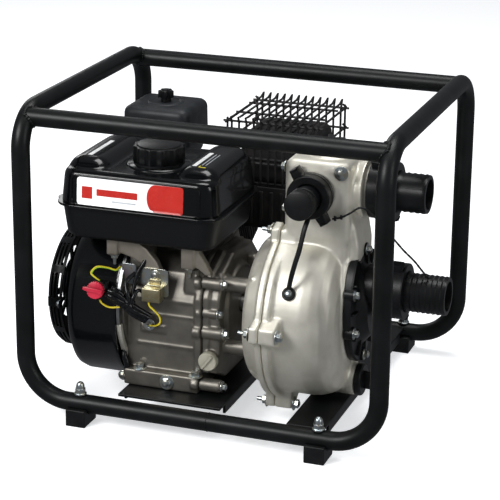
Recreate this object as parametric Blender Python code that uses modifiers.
"""Portable fire pump: a small engine and a self-priming pump in a tubular carrying frame.

All sizes and places below are in millimetres, and the helpers turn them into metres. The origin is on the
floor under the middle of the object: +X runs from the recoil starter to the suction port, +Y to the back.
"""
import math

import bmesh
import bpy
from mathutils import Matrix, Vector

MM = 0.001
GAP = 0.3                       # left between neighbours that touch

# ------------------------------------------------------------------ driving dimensions
TUBE_R = 12.5                   # frame tube, outside radius
FRAME_LEFT, FRAME_RIGHT = -267.5, 227.5
FRAME_HALF_DEPTH = 210.5
RAIL_Z, TOP_Z = 28.0, 422.0
LOWER_BEND, UPPER_BEND = 62.0, 50.0
TOP_RAIL_Y, TOP_RAIL_Z = 189.5, 414.0
FEET_X = (-188.0, 148.0)

SHAFT_Y, SHAFT_Z = -75.0, 149.0                 # crankshaft and impeller axis, along X
CYLINDER_TILT = math.radians(25)                # cylinder axis above the horizontal, leaning back
STROKE = 54.0
BORE_R = 34.0

TANK_SIZE = (224.0, 175.0, 90.0)
TANK_CENTRE = (-118.0, -97.5, 301.0)
TANK_SEAM_Z = 297.0
FILLER_XY = (-112.0, -112.0)

PLATE_THICK, PLATE_LIP, PLATE_LIP_END = 4.0, 12.0, 22.0
PUMP_PLATE_Z = 34.0                             # underside of the bar under the pump
SPLIT_X = 61.0                                  # joint between the pump's two castings
PUMP_R = 110.0
LUG_ANGLES = (33, 105, 177, 249, 321)
TOWER_X, TOWER_Y, TOWER_TOP = (61.0, 168.0), (-120.0, -30.0), 372.0
SUCTION_Z = 195.0
SUCTION_FLANGE_X, SUCTION_SEAT_X = 155.3, 180.0
SUCTION_FLANGE_Z, SUCTION_FLANGE_R = 173.0, 82.0
SUCTION_NARROW = 0.76                           # width of the oval suction flange over its height
DISCHARGE_Z = 331.0
BRANCH_X = 107.0
PLUG_X = 115.0                                  # priming boss and drain boss start here
DRAIN_Z = 62.0
OUT_X = (1, 0, 0)
OUT_FRONT = (0, -1, 0)
UP = (0, 0, 1)

# ------------------------------------------------------------------ scene and helpers
for old in list(bpy.data.objects):
    bpy.data.objects.remove(old, do_unlink=True)

parts = bpy.data.collections.new("portable_fire_pump")
cutters = bpy.data.collections.new("cutters")
for group in (parts, cutters):
    bpy.context.scene.collection.children.link(group)


def finish(name, colour, roughness, metallic=0.0):
    """A Principled material from a linear colour."""
    made = bpy.data.materials.new(name)
    made.use_nodes = True
    shader = made.node_tree.nodes["Principled BSDF"]
    shader.inputs["Base Color"].default_value = (*colour, 1)
    shader.inputs["Roughness"].default_value = roughness
    shader.inputs["Metallic"].default_value = metallic
    made.diffuse_color = (*colour, 1)
    return made


POWDER_COAT = finish("black_powder_coat", (0.012, 0.014, 0.015), 0.45)
CAST_PUMP = finish("pump_cast_aluminium", (0.55, 0.52, 0.46), 0.42, 0.8)
CAST_ENGINE = finish("engine_cast_aluminium", (0.2, 0.19, 0.18), 0.5, 0.7)
GLOSS_BLACK = finish("gloss_black_paint", (0.006, 0.006, 0.008), 0.1)
BLACK_PLASTIC = finish("black_plastic", (0.012, 0.012, 0.014), 0.4)
GREY_PLASTIC = finish("dark_grey_plastic", (0.035, 0.037, 0.04), 0.5)
BEIGE_PLASTIC = finish("beige_plastic", (0.42, 0.38, 0.27), 0.5)
RED_PLASTIC = finish("red_plastic", (0.6, 0.02, 0.04), 0.35)
RUBBER = finish("black_rubber", (0.015, 0.015, 0.015), 0.8)
ZINC = finish("zinc_plate", (0.6, 0.62, 0.62), 0.3, 1.0)
STEEL = finish("machined_steel", (0.4, 0.4, 0.4), 0.35, 1.0)
HOT_STEEL = finish("heat_resistant_black", (0.02, 0.02, 0.022), 0.65, 0.3)
FOAM = finish("filter_foam", (0.03, 0.03, 0.035), 0.95)


def facing(direction):
    """Rotation that turns local +Z to the direction and keeps local +Y as high as it can."""
    forward = Vector(direction).normalized()
    high = Vector((0, 1, 0)) if abs(forward.z) > 0.9 else Vector((0, 0, 1))
    side = high.cross(forward).normalized()
    return Matrix((side, forward.cross(side), forward)).transposed().to_4x4()


def place(name, mesh, look, at, direction=UP, smooth=True):
    """Put a mesh in the parts collection, turned to a direction at a place in millimetres."""
    made = bpy.data.objects.new(name, mesh)
    parts.objects.link(made)
    made.matrix_world = Matrix.Translation(Vector(at) * MM) @ facing(direction)
    mesh.materials.clear()
    mesh.materials.append(look)
    if smooth:
        mesh.shade_smooth()
        mesh.set_sharp_from_angle(angle=math.radians(35))
    return made


def round_edges(piece, width, segments=1):
    bevel = piece.modifiers.new("rounded", "BEVEL")
    bevel.width = width * MM
    bevel.segments = segments
    bevel.limit_method = "ANGLE"
    return piece


def block(name, look, low, high, bevel=0.0, segments=1):
    """A box between two corners."""
    low, high = Vector(low), Vector(high)
    mesh = bpy.data.meshes.new(name)
    work = bmesh.new()
    bmesh.ops.create_cube(work, size=MM)
    bmesh.ops.scale(work, vec=high - low, verts=work.verts)
    work.to_mesh(mesh)
    work.free()
    made = place(name, mesh, look, (low + high) / 2)
    return round_edges(made, bevel, segments) if bevel else made


def rod(name, look, radius, start, direction, length, sides=16, end_radius=None):
    """A cylinder or cone from a start point along a direction."""
    mesh = bpy.data.meshes.new(name)
    work = bmesh.new()
    end_radius = radius if end_radius is None else end_radius
    bmesh.ops.create_cone(work, cap_ends=True, segments=sides, radius1=radius * MM,
                          radius2=end_radius * MM, depth=length * MM)
    bmesh.ops.translate(work, vec=(0, 0, length * MM / 2), verts=work.verts)
    work.to_mesh(mesh)
    work.free()
    return place(name, mesh, look, start, direction)


def turned(name, look, outline, at, direction, steps=24, closed=False):
    """A lathe shape from (radius, height) points that run down the outer side."""
    mesh = bpy.data.meshes.new(name)
    work = bmesh.new()
    points = [work.verts.new((radius * MM, 0, height * MM)) for radius, height in outline]
    for first, second in zip(points, points[1:]):
        work.edges.new((first, second))
    if closed:
        work.edges.new((points[-1], points[0]))
    work.to_mesh(mesh)
    work.free()
    made = place(name, mesh, look, at, direction)
    screw = made.modifiers.new("turned", "SCREW")
    screw.axis = "Z"
    screw.steps = screw.render_steps = steps
    screw.use_merge_vertices = True
    screw.merge_threshold = 0.00001
    return made


def as_mesh(piece):
    """Replace a curve object by a welded mesh object with the same name and place."""
    evaluated = piece.evaluated_get(bpy.context.evaluated_depsgraph_get())
    mesh = bpy.data.meshes.new_from_object(evaluated)
    work = bmesh.new()
    work.from_mesh(mesh)
    bmesh.ops.remove_doubles(work, verts=work.verts, dist=0.000001)
    bmesh.ops.recalc_face_normals(work, faces=work.faces)
    work.to_mesh(mesh)
    work.free()
    name, world, look = piece.name, piece.matrix_world.copy(), piece.data.materials[0]
    bpy.data.objects.remove(piece, do_unlink=True)
    made = place(name, mesh, look, (0, 0, 0))
    made.name = name
    made.matrix_world = world
    return made


def curve_piece(name, look, points, closed):
    curve = bpy.data.curves.new(name, "CURVE")
    spline = curve.splines.new("POLY")
    spline.points.add(len(points) - 1)
    for target, point in zip(spline.points, points):
        target.co = (*(Vector(point) * MM), 1)
    spline.use_cyclic_u = closed
    curve.materials.append(look)
    made = bpy.data.objects.new(name, curve)
    parts.objects.link(made)
    return made


def tube(name, look, radius, points, closed=False, sides=12):
    """A round bar or tube along a list of points."""
    made = curve_piece(name, look, points, closed)
    made.data.dimensions = "3D"
    made.data.bevel_depth = radius * MM
    made.data.bevel_resolution = sides // 2 - 2
    made.data.use_fill_caps = not closed
    bpy.context.view_layer.update()
    return as_mesh(made)


def plate(name, look, outline, thickness, at, direction, bevel=0.0):
    """A flat outline given thickness along a direction, from its place onwards."""
    made = curve_piece(name, look, [(across, up, 0) for across, up in outline], closed=True)
    made.data.dimensions = "2D"
    made.data.fill_mode = "BOTH"
    made.data.extrude = thickness * MM / 2
    start = Vector(at) * MM + Vector(direction).normalized() * thickness * MM / 2
    made.matrix_world = Matrix.Translation(start) @ facing(direction)
    bpy.context.view_layer.update()
    made = as_mesh(made)
    return round_edges(made, bevel) if bevel else made


def combine(target, tool, operation):
    tool.hide_render = True
    tool.display_type = "WIRE"
    parts.objects.unlink(tool)
    cutters.objects.link(tool)
    change = target.modifiers.new(operation.lower(), "BOOLEAN")
    change.operation = operation
    change.object = tool
    change.solver = "EXACT"


def cut(target, *tools):
    for tool in tools:
        combine(target, tool, "DIFFERENCE")
    return target


def join(target, *tools):
    for tool in tools:
        combine(target, tool, "UNION")
    return target


def around(radius, angle, centre=(SHAFT_Y, SHAFT_Z)):
    """(y, z) of a point on a circle about the shaft, the angle in degrees from +Y."""
    turn = math.radians(angle)
    return centre[0] + radius * math.cos(turn), centre[1] + radius * math.sin(turn)


def on_cylinder(along, above):
    """(y, z) of a point given along the cylinder axis from the crank and above that axis."""
    cosine, sine = math.cos(CYLINDER_TILT), math.sin(CYLINDER_TILT)
    return SHAFT_Y + along * cosine - above * sine, SHAFT_Z + along * sine + above * cosine


CYLINDER_AXIS = (0, math.cos(CYLINDER_TILT), math.sin(CYLINDER_TILT))


def rounded_loop(corners, radii, steps):
    """Points of a closed path with each corner turned into an arc."""
    points = []
    for index, corner in enumerate(corners):
        corner = Vector(corner)
        back = (Vector(corners[index - 1]) - corner).normalized()
        ahead = (Vector(corners[(index + 1) % len(corners)]) - corner).normalized()
        radius = radii[index]
        centre = corner + (back + ahead) * radius
        for step in range(steps + 1):
            turn = math.pi / 2 * step / steps
            points.append(centre - ahead * radius * math.cos(turn) - back * radius * math.sin(turn))
    return points


# ------------------------------------------------------------------ frame
def frame_path():
    left, right, deep = FRAME_LEFT, FRAME_RIGHT, FRAME_HALF_DEPTH
    corners = [(left, -deep, RAIL_Z), (right, -deep, RAIL_Z), (right, -deep, TOP_Z), (right, deep, TOP_Z),
               (right, deep, RAIL_Z), (left, deep, RAIL_Z), (left, deep, TOP_Z), (left, -deep, TOP_Z)]
    radii = [LOWER_BEND if corner[2] == RAIL_Z else UPPER_BEND for corner in corners]
    return rounded_loop(corners, radii, 6)


def frame_clearance():
    """The frame loop a little fatter, to cope what is welded or clamped to it."""
    return tube("frame_clearance", POWDER_COAT, TUBE_R + GAP, frame_path(), closed=True)


def make_frame():
    tube("frame_loop", POWDER_COAT, TUBE_R, frame_path(), closed=True)
    cope = 4.0
    for name, side in (("front_top_rail", -1), ("rear_top_rail", 1)):
        ends = [(x, side * TOP_RAIL_Y, TOP_RAIL_Z) for x in (FRAME_LEFT + cope, FRAME_RIGHT - cope)]
        cut(tube(name, POWDER_COAT, TUBE_R, ends), frame_clearance())
    cross_plate("engine_plate", -138, 8, RAIL_Z + TUBE_R + GAP)
    cross_plate("pump_plate", 100, 152, PUMP_PLATE_Z)
    for name, x, side in (("front_left", FEET_X[0], -1), ("front_right", FEET_X[1], -1),
                          ("rear_left", FEET_X[0], 1), ("rear_right", FEET_X[1], 1)):
        y = side * FRAME_HALF_DEPTH
        foot = block("foot_" + name, RUBBER, (x - 14, y - 20, 0), (x + 14, y + 20, RAIL_Z - 4), bevel=1.5)
        cut(foot, frame_clearance())
        turned("acorn_nut_" + name, ZINC,
               [(0, 18), (3.2, 17), (5.2, 14), (5.6, 10), (7.2, 8), (7.2, 2.4), (8.6, 2), (8.6, 0), (0, 0)],
               (x, y, RAIL_Z + TUBE_R + 0.5), UP, steps=10)


def cross_plate(name, left, right, bottom):
    """A folded plate from one bottom rail to the other, coped to the tubes, with lips turned down."""
    end = FRAME_HALF_DEPTH - 8
    made = block(name, POWDER_COAT, (left, -end, bottom), (right, end, bottom + PLATE_THICK))
    for edge in (left, right - PLATE_THICK):
        low = (edge, PLATE_LIP_END - end, bottom - PLATE_LIP)
        high = (edge + PLATE_THICK, end - PLATE_LIP_END, bottom + 2)
        join(made, block(name + "_lip", POWDER_COAT, low, high))
    cut(made, frame_clearance())


# ------------------------------------------------------------------ engine
CASE_X = (-144.0, -36.0)
COVER_X = (CASE_X[1] + GAP, -12.0)
BASE_Z = RAIL_Z + TUBE_R + 2 * GAP + PLATE_THICK


def make_crankcase():
    seat = 98.0
    lower_seat, upper_seat = on_cylinder(seat, -48), on_cylinder(seat, 48)
    outline = [(-166, BASE_Z), (36, BASE_Z), (36, 62), (28, 70), (28, 120), lower_seat, upper_seat,
               (-40, 226), (-108, 222), (-140, 205), (-155, 170), (-155, 80), (-166, 70)]
    case = plate("crankcase", CAST_ENGINE, outline, CASE_X[1] - CASE_X[0], (CASE_X[0], 0, 0), OUT_X, bevel=3)
    # fan plate behind the blower housing, and two brackets under the tank
    join(case, rod("fan_plate", CAST_ENGINE, 99, (CASE_X[0] - 5.5, SHAFT_Y, SHAFT_Z), OUT_X, 8, sides=32))
    for low, high in (((-140, -148, 190), (-112, -118, 252)), ((-62, -148, 190), (-40, -118, 252))):
        join(case, block("tank_bracket", CAST_ENGINE, low, high, bevel=4))
    crank_room = rod("crank_room", CAST_ENGINE, 58, (CASE_X[0] + 10, SHAFT_Y, SHAFT_Z), OUT_X, 110, sides=24)
    shaft_hole = rod("shaft_hole", CAST_ENGINE, 13, (CASE_X[0] - 20, SHAFT_Y, SHAFT_Z), OUT_X, 60)
    start = (-91, *on_cylinder(30, 0))
    bore = rod("case_bore", CAST_ENGINE, BORE_R + 3, start, CYLINDER_AXIS, 100, sides=24)
    cut(case, crank_room, shaft_hole, bore)

    outline = [(-150, 72), (-120, 56), (-30, 56), (5, 75), (22, 110), (18, 190), (-15, 222), (-90, 226),
               (-130, 210), (-148, 175)]
    cover = plate("crankcase_cover", CAST_ENGINE, outline, COVER_X[1] - COVER_X[0], (COVER_X[0], 0, 0), OUT_X,
                  bevel=4)
    for angle in (41, 139, 221, 319):
        centre = around(68, angle)
        length = 25 - GAP - COVER_X[1] + 4
        pillar = rod("pillar", CAST_ENGINE, 11, (COVER_X[1] - 4, *centre), OUT_X, length, sides=12)
        join(cover, pillar)
    join(cover, rod("filler_boss", CAST_ENGINE, 11.5, (-23.5, -138, 93), OUT_FRONT, 17))
    cut(cover, rod("cover_hole", CAST_ENGINE, 13, (COVER_X[0] - 5, SHAFT_Y, SHAFT_Z), OUT_X, 50),
        rod("filler_hole", CAST_ENGINE, 9, (-23.5, -130, 93), OUT_FRONT, 40, sides=12))


def fin_outline(start, end, fins, half, depth):
    """(y, z) comb outline with fins above and below the cylinder axis."""
    pitch = (end - start) / (2 * fins - 1)
    side = []
    for fin in range(fins):
        low = start + 2 * fin * pitch
        side += [(low, half), (low + pitch, half)]
        if fin < fins - 1:
            side += [(low + pitch, half - depth), (low + 2 * pitch, half - depth)]
    below = [on_cylinder(along, -above) for along, above in side]
    return below + [on_cylinder(along, above) for along, above in reversed(side)]


def make_cylinder():
    barrel = plate("cylinder", CAST_ENGINE, fin_outline(98.4, 150, 5, 47, 7), 92, (-137, 0, 0), OUT_X)
    bore = rod("barrel_bore", CAST_ENGINE, BORE_R + 1, (-91, *on_cylinder(80, 0)), CYLINDER_AXIS, 90, sides=24)
    cut(barrel, bore)
    plate("cylinder_head", CAST_ENGINE, fin_outline(150.4, 184, 4, 45, 8), 94, (-138, 0, 0), OUT_X)
    corners = [on_cylinder(*corner) for corner in ((184.4, -36), (206, -36), (206, 36), (184.4, 36))]
    plate("rocker_cover", GLOSS_BLACK, corners, 78, (-130, 0, 0), OUT_X, bevel=6)
    rod("piston", STEEL, BORE_R, (-91, *on_cylinder(68, 0)), CYLINDER_AXIS, 50, sides=24)
    low = on_cylinder(167, 46)
    turned("spark_plug_cap", RUBBER, [(0, 34), (7, 34), (9, 30), (9, 12), (7, 8), (7, 0), (0, 0)],
           (-104, *low), (0, -math.sin(CYLINDER_TILT), math.cos(CYLINDER_TILT)), steps=12)


def make_crankshaft():
    """Shaft, two webs and the crank pin, as one forging; the pump's stub shaft runs on from it."""
    pin_y, pin_z = on_cylinder(0, STROKE / 2)
    shaft = rod("crankshaft", STEEL, 12, (-222, SHAFT_Y, SHAFT_Z), OUT_X, 124)
    for start, length, radius, y, z in ((-109, 11, 38, SHAFT_Y, SHAFT_Z), (-99, 17, 9, pin_y, pin_z),
                                        (-83, 11, 38, SHAFT_Y, SHAFT_Z), (-73, 63, 12, SHAFT_Y, SHAFT_Z),
                                        (-12, 75, 9.7, SHAFT_Y, SHAFT_Z)):
        join(shaft, rod("crank_part", STEEL, radius, (start, y, z), OUT_X, length, sides=20))
    turned("flywheel", CAST_ENGINE,
           [(80, 35), (80, 6), (76, 0), (12.4, 0), (12.4, 30), (30, 30), (34, 12), (66, 12), (70, 35)],
           (-208, SHAFT_Y, SHAFT_Z), OUT_X, steps=24, closed=True)


HOUSING_X, HOUSING_DEPTH, HOUSING_WALL = -235.0, 85.0, 2.5
HOUSING_R, SCROLL_R, SCROLL_CENTRE = 101.0, 103.0, (-77.0, 139.0)


def drum(name, radius, centre, inset):
    """A closed drum along X with a sloping rim; inset makes it the room inside one."""
    depth = HOUSING_DEPTH + (10 if inset else 0)
    outline = [(0, depth), (radius - inset, depth), (radius - inset, 14 + inset), (radius - 11 - inset, inset),
               (0, inset)]
    return turned(name, GLOSS_BLACK, outline, (HOUSING_X, *centre), OUT_X, steps=32)


def make_starter():
    # a drum round the fan, and a second one set lower that makes the scroll
    housing = drum("blower_housing", HOUSING_R, (SHAFT_Y, SHAFT_Z), 0)
    join(housing, drum("scroll", SCROLL_R, SCROLL_CENTRE, 0))
    cut(housing, drum("drum_inside", HOUSING_R, (SHAFT_Y, SHAFT_Z), HOUSING_WALL),
        drum("scroll_inside", SCROLL_R, SCROLL_CENTRE, HOUSING_WALL),
        rod("fan_inlet", GLOSS_BLACK, 62, (HOUSING_X - 5, SHAFT_Y, SHAFT_Z), OUT_X, 20, sides=32))
    cover = turned("recoil_cover", BLACK_PLASTIC,
                   [(0, 27), (60, 27), (80, 20), (88, 8), (88, 0), (85.5, 0), (85.5, 7), (78.5, 18),
                    (59, 24.5), (0, 24.5)],
                   (-235.3, SHAFT_Y, SHAFT_Z), (-1, 0, 0), steps=28)
    for slot in range(12):
        window = rod("window", BLACK_PLASTIC, 5, (-246, *around(74, 30 * slot + 15)),
                     (0, *(a - b for a, b in zip(around(1, 30 * slot + 15), (SHAFT_Y, SHAFT_Z)))), 30, sides=8)
        cut(cover, window)
    turned("recoil_pulley", GREY_PLASTIC,
           [(0, 12), (38, 12), (38, 10), (33, 8), (33, 4), (38, 2), (38, 0), (0, 0)],
           (-258, SHAFT_Y, SHAFT_Z), OUT_X, steps=20)
    grip_path = [(-257, 4, 214), (-257, -2, 228), (-257, -10, 246), (-257, -18, 264)]
    tube("recoil_grip", BLACK_PLASTIC, 8, grip_path, sides=10)


def make_fuel_tank():
    centre, half = Vector(TANK_CENTRE), Vector(TANK_SIZE) / 2
    wall = Vector((4, 4, 4))
    tank = block("fuel_tank", GLOSS_BLACK, centre - half, centre + half, bevel=18, segments=3)
    low, high = centre - half, centre + half
    seam = block("tank_seam", GLOSS_BLACK, (low.x - 6, low.y - 5, TANK_SEAM_Z - 2),
                 (high.x + 6, high.y + 5, TANK_SEAM_Z + 2))
    top = high.z
    join(tank, seam, rod("filler_neck", GLOSS_BLACK, 27, (*FILLER_XY, top - 8), UP, 20, sides=20))
    inside = block("tank_inside", GLOSS_BLACK, centre - half + wall, centre + half - wall, bevel=15, segments=2)
    cut(tank, inside, rod("filler_hole", GLOSS_BLACK, 22, (*FILLER_XY, top - 20), UP, 60, sides=20))
    turned("fuel_cap", BLACK_PLASTIC, [(0, 28), (30, 28), (35, 24), (35, 0), (28, 0), (28, 14), (0, 14)],
           (*FILLER_XY, top + 0.5), UP, steps=20)


def make_air_filter():
    base_low, base_high = (-236, 62, 297), (-142, 151, 316)
    block("filter_base", GREY_PLASTIC, base_low, base_high, bevel=5)
    cover = block("filter_cover", GREY_PLASTIC, (-240, 58, 316.3), (-138, 155, 372), bevel=14, segments=3)
    cut(cover, block("cover_inside", GREY_PLASTIC, (-236, 62, 300), (-142, 151, 368), bevel=11))
    block("filter_element", FOAM, (-228, 70, 316.6), (-150, 143, 355), bevel=6)
    turned("filter_knob", BLACK_PLASTIC, [(0, 18), (10, 18), (12, 15), (12, 5), (8, 0), (0, 0)],
           (-189, 106, 372.3), UP, steps=12)


def make_carburettor():
    body = block("carburettor", CAST_ENGINE, (-184, 74, 246), (-139, 108, 296.7), bevel=3)
    join(body, rod("float_bowl", CAST_ENGINE, 19, (-164, 91, 222), UP, 30, sides=16))
    lever("choke_lever", (-190, 84, 282), (0, 1, 0.2))
    lever("fuel_lever", (-190, 84, 256), (0, 1, -0.3))
    lever("throttle_lever", (-150, -12, 236), (0, 1, 0.1), look=ZINC)


def lever(name, pivot, reach, look=BLACK_PLASTIC):
    """A flat lever whose origin is on its pivot, along X."""
    length, half_width = 38, 5
    outline = [(-half_width, -half_width), (length, -3), (length, 3), (-half_width, half_width)]
    turn = math.atan2(reach[2], reach[1])
    made = plate(name, look, outline, 4, (0, 0, 0), OUT_X)
    made.matrix_world = (Matrix.Translation(Vector(pivot) * MM) @ Matrix.Rotation(turn, 4, "X")
                         @ made.matrix_world)
    return made


def make_silencer():
    block("silencer", HOT_STEEL, (-60, 64, 277), (46, 166, 350), bevel=12, segments=2)
    low, high = Vector((-75, 45, 274)), Vector((60, 180, 378))
    guard = block("silencer_guard", HOT_STEEL, low, high)
    wall = 3.4
    inside_low = (low.x + wall, low.y + wall, low.z - 10)
    cut(guard, block("guard_inside", HOT_STEEL, inside_low, high - Vector((wall,) * 3)))
    bars = 11
    pitch = (high.x - low.x - wall) / bars
    for bar in range(bars):
        left = low.x + wall + bar * pitch
        cut(guard, block("guard_slot", HOT_STEEL, (left, low.y - 5, low.z + 9),
                         (left + pitch - wall, high.y + 5, high.z - wall - 1)))
        cut(guard, block("guard_top_slot", HOT_STEEL, (left, low.y + wall, high.z - 20),
                         (left + pitch - wall, high.y - wall, high.z + 5)))
    for row in range(3):
        bottom = low.z + 12 + row * 30
        cut(guard, block("guard_end_slot", HOT_STEEL, (low.x - 5, low.y + 8, bottom),
                         (high.x + 5, high.y - 8, bottom + 22)))


def make_controls():
    along = Vector((0.1, -0.95, 0.2)).normalized()
    base = Vector((-171, -181, 184))
    body_outline = [(0, 14), (11, 14), (13, 11), (13, 4), (10, 0), (0, 0)]
    turned("switch_body", RUBBER, body_outline, base, along, steps=14)
    knob_at = base + along * (14 + GAP)
    knob = rod("switch_knob", RED_PLASTIC, 12, knob_at, along, 7, sides=16)
    bar = block("knob_bar", RED_PLASTIC, (-16, -2.5, 5), (12, 2.5, 11))
    bar.matrix_world = knob.matrix_world @ bar.matrix_world
    join(knob, bar)
    tube("wiring_harness", RUBBER, 6, [(-153, -188, 181), (-143, -187, 175), (-131, -184, 165),
                                       (-119, -177, 154), (-108, -169, 145)], sides=8)
    plate_low, plate_high = (-128, -160, 172), (-76, -156, 214)
    sensor = block("oil_sensor_unit", ZINC, plate_low, plate_high)
    join(sensor, block("sensor_cap", ZINC, (-100, -172, 178), (-82, -158, 198), bevel=1))


def make_dipstick():
    turned("oil_dipstick", BEIGE_PLASTIC, [(0, 10), (12, 10), (13, 8), (13, 0), (8, 0), (8, -14), (0, -14)],
           (-23.5, -155.4, 93), OUT_FRONT, steps=16)


# ------------------------------------------------------------------ pump
def lugs(start_x, length):
    return [rod("lug", CAST_PUMP, 10, (start_x, *around(124, angle)), OUT_X, length, sides=10)
            for angle in LUG_ANGLES]


def make_pump_castings():
    back_x = 25.0
    depth = SPLIT_X - GAP - back_x
    back = turned("pump_back_casing", CAST_PUMP,
                  [(119, depth), (119, depth - 9), (106, depth - 14), (97, 5), (92, 0), (13, 0), (13, 6),
                   (88, 6), (100, depth - 12), (104, depth)],
                  (back_x, SHAFT_Y, SHAFT_Z), OUT_X, steps=32, closed=True)
    join(back, *lugs(SPLIT_X - GAP - 10, 10))
    turned("shaft_seal", RUBBER, [(22, 5), (22, 0), (10, 0), (10, 5)], (31.3, SHAFT_Y, SHAFT_Z), OUT_X,
           steps=16, closed=True)

    casing = turned("pump_casing", CAST_PUMP,
                    [(0, 91), (84, 91), (100, 82), (108, 66), (PUMP_R, 48), (PUMP_R, 13), (119, 9), (119, 0),
                     (0, 0)],
                    (SPLIT_X, SHAFT_Y, SHAFT_Z), OUT_X, steps=32)
    tower_foot = SUCTION_FLANGE_Z + SUCTION_FLANGE_R + 3
    tower = block("tower", CAST_PUMP, (TOWER_X[0] + 4, TOWER_Y[0], tower_foot),
                  (TOWER_X[1], TOWER_Y[1], TOWER_TOP), bevel=12, segments=2)
    tower_root = block("tower_root", CAST_PUMP, (TOWER_X[0] + 4, TOWER_Y[0] + 1, 150),
                       (TOWER_X[1] - 16, TOWER_Y[1] - 1, TOWER_TOP - 50), bevel=8)
    pad = rod("suction_pad", CAST_PUMP, 84, (140, SHAFT_Y, SUCTION_FLANGE_Z), OUT_X,
              SUCTION_FLANGE_X - GAP - 140, sides=28)
    pad.data.transform(Matrix.Diagonal((SUCTION_NARROW, 1, 1, 1)))
    drain_boss = rod("drain_boss", CAST_PUMP, 22, (PLUG_X, SHAFT_Y, DRAIN_Z), OUT_X, 45, sides=16)
    priming_boss = rod("priming_boss", CAST_PUMP, 27, (PLUG_X, SHAFT_Y, TOWER_TOP - 10), UP, 14, sides=20)
    discharge_neck = rod("discharge_neck", CAST_PUMP, 30.4, (150, SHAFT_Y, DISCHARGE_Z), OUT_X, 40, sides=20)
    branch_neck = rod("branch_neck", CAST_PUMP, 22, (BRANCH_X, -110, DISCHARGE_Z), OUT_FRONT, 24, sides=20)
    join(casing, tower, tower_root, pad, drain_boss, priming_boss, discharge_neck, branch_neck)

    room = turned("casing_inside", CAST_PUMP,
                  [(0, 85), (80, 85), (94, 77), (101, 62), (103, 46), (103, -5), (0, -5)],
                  (SPLIT_X, SHAFT_Y, SHAFT_Z), OUT_X, steps=24)
    tower_room = block("tower_inside", CAST_PUMP, (TOWER_X[0] + 12, TOWER_Y[0] + 7, 200),
                       (TOWER_X[1] - 24, TOWER_Y[1] - 7, TOWER_TOP - 7), bevel=6)
    bores = [rod("suction_opening", CAST_PUMP, 56, (138, SHAFT_Y, SUCTION_FLANGE_Z), OUT_X, 30, sides=24),
             rod("discharge_bore", CAST_PUMP, 21, (140, SHAFT_Y, DISCHARGE_Z), OUT_X, 70, sides=16),
             rod("branch_bore", CAST_PUMP, 15, (BRANCH_X, -95, DISCHARGE_Z), OUT_FRONT, 60, sides=16),
             rod("priming_bore", CAST_PUMP, 17, (PLUG_X, SHAFT_Y, TOWER_TOP - 20), UP, 40, sides=16),
             rod("drain_bore", CAST_PUMP, 12, (PLUG_X - 15, SHAFT_Y, DRAIN_Z), OUT_X, 80, sides=12)]
    cut(casing, room, tower_room, *bores)


def make_impeller():
    disc = turned("impeller", CAST_PUMP, [(70, 4), (70, 0), (10, 0), (10, 22), (16, 22), (20, 4)],
                  (41, SHAFT_Y, SHAFT_Z), OUT_X, steps=24, closed=True)
    vanes = 6
    for vane in range(vanes):
        angle = 360 / vanes * vane
        blade = block("vane", CAST_PUMP, (-26, -1.8, 2), (26, 1.8, 16))
        centre = Vector((43, *around(43, angle))) * MM
        blade.matrix_world = (Matrix.Translation(centre) @ facing(OUT_X)
                              @ Matrix.Rotation(math.radians(angle + 40), 4, "Z")
                              @ Matrix.Translation((0, 0, 7 * MM)))
        join(disc, blade)


def make_suction_flange():
    flange = turned("suction_flange", BLACK_PLASTIC,
                    [(0, 24.7), (44, 24.7), (56, 14), (SUCTION_FLANGE_R, 10), (SUCTION_FLANGE_R, 0), (0, 0)],
                    (SUCTION_FLANGE_X, SHAFT_Y, SUCTION_FLANGE_Z), OUT_X, steps=28)
    flange.data.transform(Matrix.Diagonal((SUCTION_NARROW, 1, 1, 1)))
    join(flange, rod("suction_neck", BLACK_PLASTIC, 30.4, (160, SHAFT_Y, SUCTION_Z), OUT_X, 48, sides=20))
    cut(flange, rod("suction_bore", BLACK_PLASTIC, 21, (140, SHAFT_Y, SUCTION_Z), OUT_X, 90, sides=16))
    # rubber flap on the inlet, hung from its top edge
    outline = [(-12, 0), (12, 0), (26, -18), (26, -40), (14, -54), (-14, -54), (-26, -40), (-26, -18)]
    plate("check_valve_flap", RUBBER, outline, 4, (SUCTION_FLANGE_X - 4.5, SHAFT_Y, SUCTION_Z + 28), OUT_X)


def hose_fitting(name, seat, direction, ring_r, neck_r, tail_r, bore_r, neck, ring_end, tail_end, ribs=3,
                 ear_turn=20, ear_length=8.0):
    """A union ring over a threaded neck, and the hose tail that it clamps."""
    collar, lip = 8.0, 6.0
    collar_start, collar_end = neck + GAP, neck + GAP + collar
    ring = turned(name + "_ring", BLACK_PLASTIC,
                  [(ring_r, ring_end), (ring_r, 5), (neck_r + 0.6, 5), (neck_r + 0.6, collar_end + GAP),
                   (tail_r + 0.6, collar_end + GAP + 1), (tail_r + 0.6, ring_end)],
                  seat, direction, steps=24, closed=True)
    for side in (-1, 1):
        ear = block("ring_ear", BLACK_PLASTIC, (-6, ring_r - 4, 8), (6, ring_r + ear_length, ring_end - 3),
                    bevel=1)
        ear.matrix_world = ring.matrix_world @ Matrix.Rotation(math.radians(ear_turn + 90 * (1 - side)), 4, "Z") \
            @ ear.matrix_world
        join(ring, ear)
    start = collar_end + lip + 4
    outline = [(tail_r, start)]
    pitch = (tail_end - start) / ribs
    for rib in range(ribs):
        low = start + rib * pitch
        outline += [(tail_r, low + 0.3 * pitch), (tail_r - 2, low + pitch)]
    outer = [(radius, height) for radius, height in reversed(outline)]
    turned(name + "_tail", BLACK_PLASTIC,
           [(bore_r, tail_end), *outer, (tail_r, collar_end), (neck_r, collar_end), (neck_r, collar_start),
            (bore_r, collar_start)],
           seat, direction, steps=24, closed=True)


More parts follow.
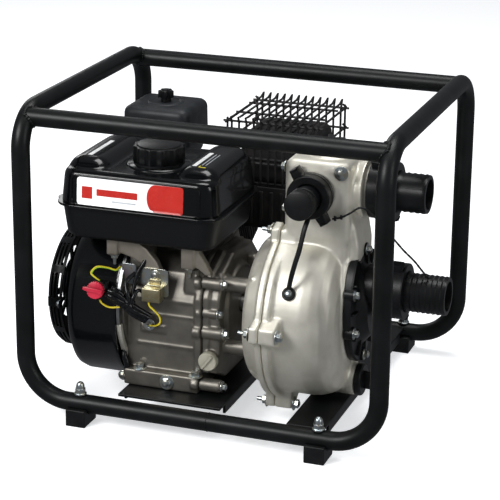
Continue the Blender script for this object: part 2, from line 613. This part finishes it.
def make_ports():
    hose_fitting("suction", (SUCTION_SEAT_X, SHAFT_Y, SUCTION_Z), OUT_X, 37.5, 30.4, 26.2, 20, 28, 45, 100)
    hose_fitting("discharge", (TOWER_X[1], SHAFT_Y, DISCHARGE_Z), OUT_X, 38, 30.4, 26.2, 20, 22, 40, 81)
    hose_fitting("branch", (BRANCH_X, TOWER_Y[0], DISCHARGE_Z), OUT_FRONT, 29, 22, 17.2, 13, 14, 28, 65.5,
                 ribs=1, ear_turn=32, ear_length=12.5)
    turned("branch_cap", RUBBER, [(0, 68), (18, 68), (19.4, 66), (19.4, 46), (17.6, 46), (17.6, 66), (0, 66)],
           (BRANCH_X, TOWER_Y[0], DISCHARGE_Z), OUT_FRONT, steps=20)
    turned("priming_plug", BLACK_PLASTIC, [(0, 18), (20, 18), (22, 15), (22, 0), (0, 0)],
           (PLUG_X, SHAFT_Y, TOWER_TOP + 4 + GAP), UP, steps=16)
    drain = turned("drain_plug", BLACK_PLASTIC, [(0, 9), (20, 9), (22.5, 6), (22.5, 0), (0, 0)],
                   (PLUG_X + 45 + GAP, SHAFT_Y, DRAIN_Z), OUT_X, steps=16)
    bar = block("drain_bar", BLACK_PLASTIC, (-3, -12, 7), (3, 12, 24), bevel=1)
    bar.matrix_world = drain.matrix_world @ bar.matrix_world
    join(drain, bar)


def make_straps():
    strap = [(115, -168, 309.4), (112, -176, 296), (107, -180, 272), (101, -179, 248), (96, -174, 228),
             (93, -168.5, 215)]
    tube("cap_strap", RUBBER, 2.5, strap, sides=8)
    cord = [(134, -126, 300), (146, -124.5, 303), (158, -123, 310), (170, -122, 318), (182, -120, 313),
            (196, -116, 298), (210, -110, 280), (224, -104, 262), (238, -99, 247), (247, -94, 234),
            (256, -88.5, 221)]
    tube("tie_cord", RUBBER, 1.4, cord, sides=8)


make_frame()
make_crankcase()
make_cylinder()
make_crankshaft()
make_starter()
make_fuel_tank()
make_air_filter()
make_carburettor()
make_silencer()
make_controls()
make_dipstick()
make_pump_castings()
make_impeller()
make_suction_flange()
make_ports()
make_straps()
